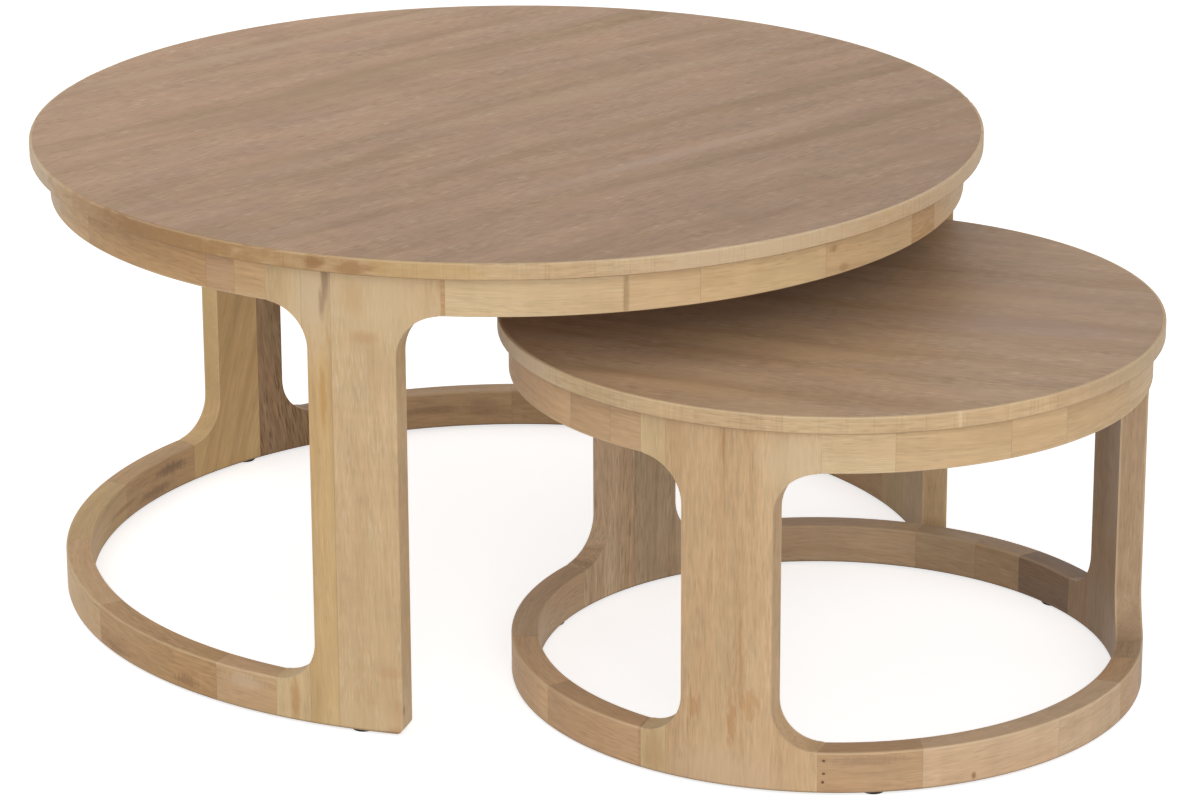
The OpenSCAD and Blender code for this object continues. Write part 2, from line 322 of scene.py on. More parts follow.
def make_mark():
    """A soft-edged patch or knot of a given size. The halo reaches further than the core."""
    g, i, outs = new_group(
        "mark",
        [("Place", VECTOR, None), ("Middle", VECTOR, None), ("Size", VECTOR, (0.01, 0.01, 0.01)),
         ("Rough", FLOAT, 0.5), ("Raggedness", FLOAT, 0.6), ("Strength", FLOAT, 1.0)],
        [("Core", FLOAT), ("Halo", FLOAT)])
    away = reckon_vector(g, "SUBTRACT", i["Place"], i["Middle"])
    far = reckon_vector(g, "LENGTH", reckon_vector(g, "DIVIDE", away, i["Size"]))
    far = reckon(g, "ADD", far, times(g, about_zero(g, i["Rough"]), i["Raggedness"], 2.0))
    core = times(g, reckon(g, "SUBTRACT", 1.0, ramp(g, far, 0.25, 0.65)), i["Strength"])
    halo = times(g, reckon(g, "SUBTRACT", 1.0, ramp(g, far, 0.35, 1.35)), i["Strength"])
    put_out(g, outs, {"Core": core, "Halo": halo})
    return g


def make_round_the_table():
    """Object space unrolled round a table, with each piece of its edge as a board of its own."""
    g, i, outs = new_group(
        "round the table",
        [("Centre", VECTOR, None), ("Radius", FLOAT, 0.45), ("Joint", FLOAT, 0.0),
         ("Pieces", FLOAT, 12.0)],
        [("Board", VECTOR), ("Round", FLOAT), ("Up", FLOAT), ("Out", FLOAT)])
    part = split(g, reckon_vector(g, "SUBTRACT", object_place(g), i["Centre"]))
    turn = reckon(g, "ARCTAN2", part["Y"], part["X"])
    turn = reckon(g, "SUBTRACT", turn, reckon(g, "RADIANS", i["Joint"]))
    turn = reckon(g, "MODULO", reckon(g, "ADD", turn, 2 * math.tau), math.tau)
    piece = reckon(g, "FLOOR", times(g, turn, reckon(g, "DIVIDE", i["Pieces"], math.tau)))
    out = far_out(g, part["X"], part["Y"])
    along = times(g, turn, i["Radius"])
    across = reckon(g, "SUBTRACT", part["Z"], out)
    board = combine(g, X=along, Y=reckon(g, "ADD", across, HEART_FAR), Z=times(g, piece, LIP_STEP))
    put_out(g, outs, {"Board": board, "Round": along, "Up": part["Z"], "Out": out})
    return g


BOARD_GRAIN = make_board_grain()
MARK = make_mark()
ROUND_THE_TABLE = make_round_the_table()


def new_material(name):
    material = bpy.data.materials.new(name)
    material.use_nodes = True
    material.node_tree.nodes.clear()
    return material, material.node_tree


def finish_material(tree, colour, height, roughness, bump=0.00004, specular=0.22):
    relief = add(tree, "ShaderNodeBump", {"Height": height, "Strength": 1.0, "Distance": bump})
    shader = add(tree, "ShaderNodeBsdfPrincipled", {
        "Base Color": colour, "Roughness": roughness, "Normal": relief.outputs[0],
        "Specular IOR Level": specular})
    add(tree, "ShaderNodeOutputMaterial", {0: shader.outputs[0]})


def stain(tree, colour, place, rough, marks):
    """Lays soft patches over a colour: (middle, size, paint card colour, strength, raggedness)."""
    for middle, size, patch, strength, ragged in marks:
        mark = use_group(tree, MARK, {"Place": place, "Middle": middle, "Size": size,
                                      "Rough": rough, "Raggedness": ragged, "Strength": strength})
        colour = blend_colours(tree, mark["Halo"], colour, tint(*patch))
    return colour


def knot(tree, colour, place, rough, middle, size):
    """Lays a knot over a colour, with a brown halo and a dark core."""
    near = use_group(tree, MARK, {"Place": place, "Middle": middle, "Size": size,
                                  "Rough": rough, "Raggedness": 0.5, "Strength": 1.0})
    colour = blend_colours(tree, times(tree, near["Halo"], 0.45), colour, KNOT_HALO)
    return blend_colours(tree, times(tree, near["Core"], 0.60), colour, KNOT_CORE)


# ---- Wood of the frames ----

# Each wood's colour, then how strong its brown streaks, dark flecks and cross figure are
WOODS = {
    "pale": (tint(203, 177, 138), 0.14, 0.0, 0.45),
    "rosy pale": (tint(201, 172, 139), 0.12, 0.05, 0.50),
    "straw": (tint(205, 178, 136), 0.20, 0.0, 0.25),
    "golden": (tint(206, 175, 126), 0.28, 0.0, 0.15),
    "honey": (tint(203, 173, 132), 0.25, 0.05, 0.20),
    "fawn": (tint(203, 173, 134), 0.30, 0.14, 0.25),
    "warm pale": (tint(204, 175, 135), 0.14, 0.04, 0.45),
    "tan": (tint(198, 165, 127), 0.30, 0.1, 0.20),
    "orange tan": (tint(203, 169, 126), 0.35, 0.1, 0.20),
    "dun": (tint(189, 155, 119), 0.20, 0.1, 0.20),
    "light brown": (tint(194, 157, 113), 0.35, 0.2, 0.15),
    "brown": (tint(188, 154, 116), 0.35, 0.35, 0.15),
    "streaked": (tint(181, 151, 117), 0.50, 0.6, 0.10),
    "grey tan": (tint(190, 163, 131), 0.30, 0.10, 0.15),
    "brushed": (tint(192, 168, 138), 0.40, 0.28, 0.15),
    "grey brown": (tint(172, 146, 117), 0.20, 0.14, 0.10),
    "umber": (tint(136, 114, 95), 0.25, 0.15, 0.10),
}

# Patches on the legs: across and up, size, colour, strength and raggedness
LEG_PATCHES = {
    (LARGE, "front"): [
        # the pale head of its golden stave, a grey streak there, and stains further down
        (-0.034, 0.425, (0.022, 0.022, 0.075), (212, 187, 153), 0.85, 0.5),
        (-0.0225, 0.428, (0.0045, 0.0045, 0.028), (140, 112, 88), 0.80, 0.7),
        (-0.026, 0.400, (0.003, 0.003, 0.016), (150, 118, 90), 0.60, 0.7),
        (-0.027, 0.315, (0.0035, 0.0035, 0.032), (186, 136, 76), 0.55, 0.7),
        (-0.062, 0.022, (0.005, 0.005, 0.024), (182, 130, 78), 0.60, 0.6),
        (0.036, 0.003, (0.014, 0.014, 0.006), (176, 124, 84), 0.70, 0.6),
        (0.037, 0.022, (0.005, 0.005, 0.014), (190, 140, 98), 0.45, 0.6),
        # a paler shoulder and foot, and brown marks on them
        (0.026, 0.410, (0.045, 0.045, 0.040), (214, 189, 150), 0.60, 0.5),
        (0.010, 0.008, (0.045, 0.045, 0.025), (212, 186, 146), 0.45, 0.5),
        (0.012, 0.373, (0.014, 0.014, 0.006), (184, 140, 96), 0.45, 0.8),
        (0.004, 0.408, (0.012, 0.012, 0.016), (196, 156, 110), 0.40, 0.8),
        (0.030, 0.060, (0.014, 0.014, 0.006), (192, 150, 110), 0.45, 0.6),
    ],
    (LARGE, "end"): [
        # a lighter side face: painted light, where more light falls on it than on the inner face
        (0.0405, 0.230, (0.040, 0.003, 0.180), (214, 182, 126), 0.70, 0.2),
    ],
    (SMALL, "front"): [
        # a pale foot and shoulder, and a browner corner
        (0.004, 0.014, (0.055, 0.055, 0.026), (208, 178, 146), 0.55, 0.5),
        (-0.068, 0.020, (0.012, 0.012, 0.030), (182, 148, 106), 0.60, 0.5),
        (0.058, 0.305, (0.030, 0.030, 0.040), (212, 188, 152), 0.60, 0.5),
        # brown streaks
        (0.014, 0.130, (0.0020, 0.0020, 0.045), (176, 124, 74), 0.45, 1.0),
        (-0.014, 0.190, (0.0020, 0.0020, 0.030), (180, 132, 84), 0.35, 1.0),
        (-0.004, 0.250, (0.0050, 0.0050, 0.080), (186, 144, 100), 0.30, 1.0),
        (-0.002, 0.315, (0.0014, 0.0014, 0.022), (160, 112, 68), 0.50, 0.6),
        # ragged brown grain above the foot
        (0.006, 0.066, (0.0040, 0.0040, 0.024), (180, 128, 80), 0.50, 1.8),
        (-0.028, 0.073, (0.0060, 0.0060, 0.012), (180, 130, 84), 0.45, 2.0),
        (0.022, 0.082, (0.0100, 0.0100, 0.012), (184, 134, 86), 0.45, 2.0),
    ],
}
FOOT_KNOT = (LARGE.on_leg("front", 0.041, 0.024, 0.004), (0.0025, 0.0025, 0.007))

# Patches on the rails and rings: table, radius, direction, height, size, colour, strength and
# raggedness
BAND_PATCHES = [
    # a smudge along the top of the small outer ring, and its little spot
    (SMALL, SMALL.outer_r, -43.5, 0.033, (0.034, 0.034, 0.0045), (150, 122, 94), 0.50, 0.6),
    (SMALL, SMALL.outer_r, -24.5, 0.0085, (0.0025, 0.0025, 0.0035), (134, 96, 60), 0.75, 0.5),
    # marks on the large outer rail
    (LARGE, LARGE.outer_r, -33.3, 0.412, (0.003, 0.003, 0.026), (150, 118, 84), 0.50, 0.5),
    (LARGE, LARGE.outer_r, -5.2, 0.4215, (0.005, 0.005, 0.0035), (150, 120, 88), 0.55, 0.6),
    (LARGE, LARGE.outer_r, -3.4, 0.4020, (0.006, 0.006, 0.0040), (160, 122, 84), 0.50, 0.6),
    # streaks inside the large ring, beside its end leg and in the back segment
    (LARGE, LARGE.inner_r, 191.5, 0.028, (0.02, 0.026, 0.006), (112, 90, 74), 0.60, 0.8),
    (LARGE, LARGE.inner_r, 196, 0.012, (0.02, 0.034, 0.005), (122, 92, 68), 0.50, 0.8),
    (LARGE, LARGE.inner_r, 206, 0.018, (0.03, 0.050, 0.003), (158, 104, 66), 0.50, 0.8),
    (LARGE, LARGE.inner_r, 145, 0.023, (0.028, 0.040, 0.004), (132, 102, 80), 0.38, 0.4),
    (LARGE, LARGE.inner_r, 137, 0.023, (0.020, 0.020, 0.010), (134, 108, 82), 0.28, 0.4),
    # brown flecks low on the large front ring, and a pale patch above them
    (LARGE, LARGE.outer_r, -106, 0.0095, (0.024, 0.024, 0.0045), (142, 106, 74), 0.55, 1.1),
    (LARGE, LARGE.outer_r, -90.5, 0.0120, (0.016, 0.016, 0.0050), (140, 106, 74), 0.55, 1.1),
    (LARGE, LARGE.outer_r, -81, 0.0300, (0.022, 0.022, 0.0070), (214, 190, 160), 0.50, 1.0),
]
FRAME_RAGGED = (420, 420, 80)           # features per metre in the edges of those patches
# The glue lines' colour, the eased edges' paler sanded wood with a painted highlight, and the
# painted shade just above the floor
GLUE_BROWN, SANDED_AND_LIT_ARRIS, PAINTED_FOOT_SHADE = tint(120, 88, 58), tint(232, 208, 170), tint(98, 74, 54)
FOOT_SHADE_FROM, FOOT_SHADE_FULL = 0.0028, 0.0006   # heights above a foot where its painted shade starts and is full


def frame_patches():
    for (table, leg), rows in LEG_PATCHES.items():
        for across, z, *patch in rows:
            yield table.on_leg(leg, across, z), *patch
    for table, radius, degrees, z, *patch in BAND_PATCHES:
        yield table.at(radius, degrees, z), *patch


def frame_wood():
    """Lacquered solid wood of the frames. Each stave has its own wood, and glue lines show."""
    material, t = new_material("frame wood")
    board, stave, look, glue, arris = (add(t, "ShaderNodeAttribute", attribute_name=name).outputs
                                       for name in ("board", "stave", "look", "glue", "arris"))
    look = split(t, look["Vector"])
    place = object_place(t)
    grain = use_group(t, BOARD_GRAIN, {
        "Board": board["Vector"], "Wood": stave["Color"], "Streaks": look["X"],
        "Flecks": look["Y"], "Dashes": look["Z"], "Fibre": 0.24,
        "Strokes": reckon(t, "MULTIPLY_ADD", look["Y"], 1.2, 0.18),
        "Figure": times(t, look["Z"], 0.28)})
    ragged = noise(t, reckon_vector(t, "MULTIPLY", place, FRAME_RAGGED), 3.0)
    colour = stain(t, grain["Colour"], place, ragged, frame_patches())
    colour = knot(t, colour, place, ragged, *FOOT_KNOT)
    colour = blend_colours(t, times(t, glue["Fac"], 0.5), colour, GLUE_BROWN)
    # Eased edges painted lighter: partly their paler sanded wood, partly a painted highlight where
    # they catch the light
    colour = blend_colours(t, times(t, arris["Fac"], 0.28), colour, SANDED_AND_LIT_ARRIS)
    # Painted shade darkens the last millimetres above the floor, where the lower edges are in
    # shadow
    foot_shade = ramp(t, split(t, place)["Z"], GLIDE_H + FOOT_SHADE_FROM, GLIDE_H + FOOT_SHADE_FULL)
    colour = blend_colours(t, times(t, foot_shade, 0.6), colour, PAINTED_FOOT_SHADE)
    rough = reckon(t, "MULTIPLY_ADD", grain["Pore mask"], 0.2, 0.52)
    finish_material(t, colour, grain["Height"], rough)
    return material


# ---- Finishes of the other pieces ----

GREYER = (0.92, 0.93, 0.97, 1.0)     # what the greyer mottle of a top does to its wood
LIP_BLOCKS = 22.0                    # short blocks per metre of lipping
LIP_RAGGED = (70, 70, 200)           # features per metre in the edges of its patches
SAW_MARKS = (420.0, 25.0)            # per metre round the lipping and up it
SEAM_SHARP = (0.014, 0.006)          # where the seam between two blocks sets in, in blocks
# How far inside its sharp corner an edge's colour starts to change, and has changed fully, for the
# upper edge's painted highlight and the lower edge's painted shade
SANDED_AND_LIT_EDGE, SHADED_LOWER_EDGE = (0.0018, 0.0009), (0.0016, 0.0004)


def top_wood(name, table, grain_angle, wood, brown, streaks, width, bend, lean, patches):
    """Lacquered face of a top board, with its grain at grain_angle to the slide direction.

    width is that of its streaks, bend bows the grain, and lean is painted light: how much lighter
    the face is painted per metre across it, towards the side where more light falls. patches are
    placed in metres along the grain and across it."""
    material, t = new_material(name)
    to_centre = (-table.centre[0], -table.centre[1], 0)
    to_grain = (0, 0, -math.radians(grain_angle))
    place = add(t, "ShaderNodeMapping", {"Vector": object_place(t),
                                         "Location": to_centre}).outputs[0]
    place = add(t, "ShaderNodeMapping", {"Vector": place, "Rotation": to_grain}).outputs[0]
    part = split(t, place)
    bow = times(t, part["X"], part["X"], bend)
    sheet = combine(t, X=part["X"], Y=reckon(t, "ADD", part["Y"], bow))
    board = reckon_vector(t, "ADD", sheet, (0, HEART_FAR, 0))
    mottle = ramp(t, grain_noise(t, sheet, 9, 18, 3.0, 0.6), 0.38, 0.62)
    greyer = tuple(c * k for c, k in zip(wood, GREYER))
    grain = use_group(t, BOARD_GRAIN, {
        "Board": board, "Wood": blend_colours(t, mottle, wood, greyer), "Brown": brown,
        "Streaks": streaks, "Streak width": width, "Blush": 0.32, "Fibre": 0.26, "Strokes": 0.34,
        "Dashes": 0.45, "Flecks": 0.28, "Figure": 0.10, "Wander": 0.045})
    # Painted light: the face is painted lighter towards one side, where more light falls, and
    # darker towards the other
    colour = shade(t, grain["Colour"], reckon(t, "MULTIPLY_ADD", part["Y"], lean, 1.0))
    colour = stain(t, colour, sheet, grain_noise(t, sheet, 7, 90, 1.0),
                   [((*middle, 0), (*size, 1), *patch) for middle, size, *patch in patches])
    rough = reckon(t, "MULTIPLY_ADD", grain["Pore mask"], 0.15, 0.50)
    finish_material(t, colour, grain["Height"], rough, bump=0.00003, specular=0.25)
    return material


def lipping_wood(name, table, joint, pieces, patches):
    """The solid pieces round a top, each made up of short blocks with sawn marks across them.

    patches are placed by their direction and how far they are below the top's face."""
    material, t = new_material(name)
    place = object_place(t)
    rim = use_group(t, ROUND_THE_TABLE, {"Centre": (*table.centre, 0), "Radius": table.top_r,
                                         "Joint": joint, "Pieces": pieces})
    along = times(t, rim["Round"], LIP_BLOCKS)
    block = add(t, "ShaderNodeTexVoronoi", {"W": along, "Scale": 1.0}, voronoi_dimensions="1D")
    block = add(t, "ShaderNodeSeparateColor", {0: block.outputs["Color"]}).outputs
    seam = add(t, "ShaderNodeTexVoronoi", {"W": along, "Scale": 1.0}, voronoi_dimensions="1D",
               feature="DISTANCE_TO_EDGE").outputs["Distance"]
    wood = blend_colours(t, block["Red"], tint(201, 174, 135), tint(197, 167, 129))
    grain = use_group(t, BOARD_GRAIN, {
        "Board": rim["Board"], "Wood": wood, "Streaks": 0.18, "Streak width": 0.006,
        "Fibre": 0.25, "Dashes": 0.2, "Flecks": 0.15, "Figure": 0.10, "Wander": 0.004})
    ragged = noise(t, reckon_vector(t, "MULTIPLY", place, LIP_RAGGED))
    colour = stain(t, grain["Colour"], place, ragged,
                   [(table.at(table.top_r, degrees, table.top_z - below), *patch)
                    for degrees, below, *patch in patches])
    sawn = noise(t, combine(t, X=times(t, rim["Round"], SAW_MARKS[0]),
                            Y=times(t, rim["Up"], SAW_MARKS[1])), 1.0)
    where = ramp(t, noise(t, combine(t, X=along), 1.0), 0.42, 0.62)
    sawn = times(t, about_zero(t, sawn), where)
    colour = shade(t, colour, reckon(t, "MULTIPLY_ADD", sawn, 0.34, 1.0))
    colour = blend_colours(t, times(t, ramp(t, seam, *SEAM_SHARP), 0.14), colour,
                           tint(120, 88, 56))
    # The rounded upper edge is painted lighter, for its paler sanded wood and a painted highlight,
    # and the lower one darker with painted shade
    edge, corner = reckon(t, "ADD", rim["Out"], rim["Up"]), table.top_r + table.top_z
    sanded_and_lit = ramp(t, edge, *(corner - inside for inside in SANDED_AND_LIT_EDGE))
    colour = blend_colours(t, times(t, sanded_and_lit, 0.25), colour, tint(224, 200, 164))
    # Painted shade on the rounded lower edge, which is in shadow under the top
    edge, corner = reckon(t, "SUBTRACT", rim["Out"], rim["Up"]), table.top_r - table.frame_top
    lower_edge_shade = ramp(t, edge, *(corner - inside for inside in SHADED_LOWER_EDGE))
    colour = blend_colours(t, times(t, lower_edge_shade, 0.5), colour, tint(124, 94, 66))
    finish_material(t, colour, grain["Height"], 0.52)
    return material


def dowel_wood():
    """Pale turned wood, left bare."""
    material, t = new_material("dowel wood")
    grain = use_group(t, BOARD_GRAIN, {"Board": object_place(t), "Wood": tint(214, 190, 152),
                                       "Streaks": 0.2})
    finish_material(t, grain["Colour"], grain["Height"], 0.55)
    return material


def screw_steel():
    """Zinc-plated screws, brushed by the press and slightly clouded."""
    material, t = new_material("screw steel")
    cloud = noise(t, object_place(t), 3.0, scale=900.0)
    shader = add(t, "ShaderNodeBsdfPrincipled", {
        "Base Color": blend_colours(t, cloud, tint(196, 196, 192), tint(168, 168, 166)),
        "Metallic": 1.0, "Roughness": reckon(t, "MULTIPLY_ADD", cloud, 0.2, 0.25)})
    add(t, "ShaderNodeOutputMaterial", {0: shader.outputs[0]})
    return material


def brad_steel():
    """Heads of small steel brads, gone brown and half filled with dust."""
    material, t = new_material("brad steel")
    rust = noise(t, object_place(t), 3.0, scale=1600.0)
    colour = blend_colours(t, ramp(t, rust, 0.35, 0.65), tint(92, 68, 48), tint(128, 98, 70))
    finish_material(t, colour, rust, 0.6, bump=0.00003)
    return material


def glide_plastic():
    """Black moulded plastic with a fine grained skin."""
    material, t = new_material("glide plastic")
    skin = noise(t, object_place(t), scale=2200.0)
    colour = blend_colours(t, skin, tint(24, 24, 24), tint(36, 35, 34))
    finish_material(t, colour, skin, 0.55, bump=0.00002)
    return material


# ---- Eased panels of the frames ----

def arc(x, z, r, start, end, skip_first=False, skip_last=False):
    """Points on an arc between two directions in degrees, every edge of it eased."""
    steps = round(abs(end - start) / ARC_STEP)
    turns = [math.radians(start + (end - start) * i / steps) for i in range(steps + 1)]
    turns = turns[1 if skip_first else 0:steps if skip_last else steps + 1]
    return [(x + r * math.cos(a), z + r * math.sin(a), True) for a in turns]


def leg_outline(table, ring_right, ring_left):
    """A leg from outside: (across, up) points anticlockwise, and whether each edge is eased."""
    def right_half(meets_ring):
        if meets_ring:
            ring_top = GLIDE_H + RING_H
            points = [(SHOULDER, GLIDE_H, False), (SHOULDER, ring_top, True)]
            points += arc(SHOULDER, ring_top + SWEEP_R, SWEEP_R, 270, 180, skip_first=True)
        else:
            points = arc(LEG_HALF_W - FOOT_ROUND, GLIDE_H + FOOT_ROUND, FOOT_ROUND, -90, 0)
        points += arc(SHOULDER, table.rail_z - SWEEP_R, SWEEP_R, 180, 90, skip_last=True)
        return points + [(SHOULDER, table.rail_z, False), (SHOULDER, table.frame_top, False)]

    right, left = right_half(ring_right), right_half(ring_left)
    outline = [(x, z) for x, z, _ in right] + [(-x, z) for x, z, _ in reversed(left)]
    eased = [e for _, _, e in right] + [e for _, _, e in reversed(left[:-1])] + [True]
    return outline, eased


def flat_panel(outline, eased, thick):
    """A panel lying in x and z with its outer face at y = 0, and its eased edges rounded."""
    bm = bmesh.new()
    arris = bm.faces.layers.float.new("arris")
    outer = [bm.verts.new((x, 0, z)) for x, z in outline]
    inner = [bm.verts.new((x, thick, z)) for x, z in outline]
    bm.faces.new(outer)
    bm.faces.new(inner[::-1])
    soft = []
    for i in range(len(outline)):
        j = (i + 1) % len(outline)
        bm.faces.new((outer[j], outer[i], inner[i], inner[j]))
        if eased[i]:
            soft += [bm.edges.get((outer[i], outer[j])), bm.edges.get((inner[i], inner[j]))]
    rounded = bmesh.ops.bevel(bm, geom=soft, offset=ARRIS, offset_type="OFFSET", segments=3,
                              profile=0.5, affect="EDGES", clamp_overlap=False)
    for face in rounded["faces"]:
        face[arris] = 1.0
    return bm


STAVE_STEP = 7       # how far along in its log each next stave was cut
HEART_DIP = 0.02     # how fast a log's heart gets deeper along a board
SHARP_FROM = 35      # degrees between two faces that meet in a sharp edge
# Where hearts lie that aren't chosen: aside and deep in metres, and how much the grain leans
CHANCE_HEART = ((0.02, 0.12), (0.02, 0.08), (-0.06, 0.06))


class Stave:
    """A stave of a leg or a block of a band, from its joint to the next one.

    Its tone makes it lighter or darker than its wood. Its heart is how far aside and deep the
    heart of its log lies, and how much its grain leans."""

    def __init__(self, joint, wood, tone=1.0, heart=None):
        self.joint = joint
        self.wood = wood
        self.tone = tone
        self.heart = heart


def cut_strips(bm, low, high, staves):
    """Cuts a flat panel beside its glue lines, and into strips that are narrow enough to bend."""
    cuts = [stave.joint + side * GLUE_LINE for stave in staves[1:] for side in (-0.5, 0.5)]
    count = math.ceil((high - low) / STRIP_W)
    cuts += [low + (high - low) * i / count for i in range(1, count)]
    for x in cuts:
        bmesh.ops.bisect_plane(bm, geom=bm.verts[:] + bm.edges[:] + bm.faces[:],
                               plane_co=(x, 0, 0), plane_no=(1, 0, 0), dist=1e-7)


def lay_staves(bm, staves, upright, seed):
    """Gives each face of a flat panel its stave's wood, and its place on that stave's board.

    upright staves have their grain up the panel, and the others along it."""
    glue = bm.faces.layers.float.new("glue")
    stave_colour = bm.faces.layers.float_color.new("stave")
    look = bm.faces.layers.float_vector.new("look")
    board = bm.loops.layers.float_vector.new("board")
    chance = random.Random(seed)
    hearts = [stave.heart or [chance.uniform(*limits) for limits in CHANCE_HEART]
              for stave in staves]
    for face in bm.faces:
        middle = face.calc_center_median().x
        here = max(i for i, stave in enumerate(staves) if i == 0 or middle >= stave.joint)
        colour, streaks, flecks, figure = WOODS[staves[here].wood]
        aside, deep, lean = hearts[here]
        face[stave_colour] = tuple(part * staves[here].tone for part in colour[:3]) + (1.0,)
        face[look] = (streaks, flecks, figure)
        glued = any(abs(middle - stave.joint) < GLUE_LINE / 2 for stave in staves[1:])
        face[glue] = 1.0 if glued else 0.0
        for loop in face.loops:
            x, y, z = loop.vert.co
            along, across = (z, x) if upright else (x, z)
            loop[board] = Vector((along + STAVE_STEP * here + seed, across + aside + lean * along,
                                  y + deep + HEART_DIP * along))
        face.smooth = True


def frame_panel(name, bm, low, high, staves, upright, to_wall, seed):
    """A piece made from a flat panel of staves, bent to the wall of the frame's drum."""
    cut_strips(bm, low, high, staves)
    lay_staves(bm, staves, upright, seed)
    for vert in bm.verts:
        vert.co = to_wall(*vert.co)
    bmesh.ops.recalc_face_normals(bm, faces=bm.faces)
    mesh = bpy.data.meshes.new(name)
    bm.to_mesh(mesh)
    bm.free()
    mesh.set_sharp_from_angle(angle=math.radians(SHARP_FROM))
    piece = bpy.data.objects.new(name, mesh)
    bpy.context.scene.collection.objects.link(piece)
    return piece


def flat_facing(piece):
    """Keeps wide faces flat and lets only the eased edges shade round."""
    shading = piece.modifiers.new("wide faces lead", "WEIGHTED_NORMAL")
    shading.keep_sharp = True
    shading.weight = 60


def fit_for(piece, table, node):
    piece.data.materials.append(FRAME_WOOD)
    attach(piece, table.body)
    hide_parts(node)
    return piece


def make_leg(table, leg, staves, seed):
    """A curved leg, swept out on each side into its rail and the ring, where there is one."""
    right = next(side for side, ends in SIDES.items() if ends[0] == leg)
    left = next(side for side, ends in SIDES.items() if ends[1] == leg)
    outline, eased = leg_outline(table, right in table.rings, left in table.rings)

    def to_wall(x, y, z):
        return table.on_leg(leg, x, z, y)

    name = f"{table.name}_leg_{leg}"
    piece = frame_panel("eased_" + name, flat_panel(outline, eased, FRAME_T), -SHOULDER, SHOULDER,
                        [Stave(*row) for row in staves], True, to_wall, seed)
    return fit_for(piece, table, name)


def make_band(table, kind, side, z, height, soft_top, blocks, seed):
    """A rail or a ring segment, from one leg's shoulder to the next leg's.

    soft_top eases its upper edges as well, and blocks give the directions of their joints."""
    first, last = table.span(side)
    butt = SHOULDER + GLUE_GAP
    start = math.degrees(math.asin(butt / table.middle_r))
    length = math.radians(last - first - 2 * start) * table.middle_r

    def to_wall(x, y, z):
        rho = table.outer_r - y
        butt_turn = math.degrees(math.asin(butt / rho))
        low, high = first + butt_turn, last - butt_turn
        return table.at(rho, low + (high - low) * x / length, z)

    outline = [(0, z), (length, z), (length, z + height), (0, z + height)]
    panel = flat_panel(outline, [True, False, soft_top, False], FRAME_T)
    staves = [Stave(math.radians(joint - first - start) * table.middle_r, *rest)
              for joint, *rest in blocks]
    name = f"{table.name}_{kind}_{side}"
    piece = frame_panel("eased_" + name, panel, 0, length, staves, False, to_wall, seed)
    return fit_for(piece, table, name)


def bore_rails(table, rails):
    """Counterbores in the rails' undersides for the screws that hold the top."""
    bm = bmesh.new()
    depth = BORE_DEEP + DRILL_SPARE
    for side in SIDES:
        middle = sum(table.span(side)) / 2
        for turn in (-BORE_SPREAD, BORE_SPREAD):
            low = table.at(table.middle_r, middle + turn, table.rail_z - DRILL_SPARE)
            bmesh.ops.create_cone(bm, cap_ends=True, segments=32, radius1=BORE_R, radius2=BORE_R,
                                  depth=depth,
                                  matrix=Matrix.Translation(low + Vector((0, 0, depth / 2))))
    drills = bpy.data.objects.new("drills", bpy.data.meshes.new("drills"))
    bm.to_mesh(drills.data)
    bm.free()
    bpy.context.scene.collection.objects.link(drills)
    for rail in rails:
        cut = rail.modifiers.new("bores", "BOOLEAN")
        cut.object, cut.operation, cut.solver = drills, "DIFFERENCE", "EXACT"
        bpy.context.view_layer.update()
        evaluated = rail.evaluated_get(bpy.context.evaluated_depsgraph_get())
        bored = bpy.data.meshes.new_from_object(evaluated)
        rail.modifiers.clear()
        rail.data = bored
    bpy.data.objects.remove(drills)


# ---- Staves of each piece ----

# Each stave of a leg: where it starts across it, its wood, and its tone and heart if chosen
LEG_STAVES = {
    ("large", "front"): [
        (-SHOULDER, "straw", 1.06), (-0.046, "golden", 1.0, (0.10, 0.01, 0.02)),
        (-0.018, "warm pale", 1.0, (0.16, 0.02, 0.03))],
    ("large", "back"): [(-SHOULDER, "honey"), (-0.030, "pale"), (0.034, "straw")],
    ("large", "end"): [
        (-SHOULDER, "streaked", 0.9, (0.30, 0.02, -0.15)),
        (-0.011, "golden", 1.21, (0.20, 0.02, 0.30))],
    ("small", "front"): [
        (-SHOULDER, "straw"), (-0.056, "fawn", 1.0, (0.02, 0.05, 0.01))],
    ("small", "back"): [
        (-SHOULDER, "grey brown", 1.06, (0.10, 0.02, 0.02)),
        (0.006, "grey brown", 0.96, (0.14, 0.03, 0.02))],
    ("small", "end"): [
        (-SHOULDER, "brushed", 1.04, (0.11, 0.02, 0.03)),
        (0.008, "brushed", 1.42, (0.16, 0.02, 0.04))],
}

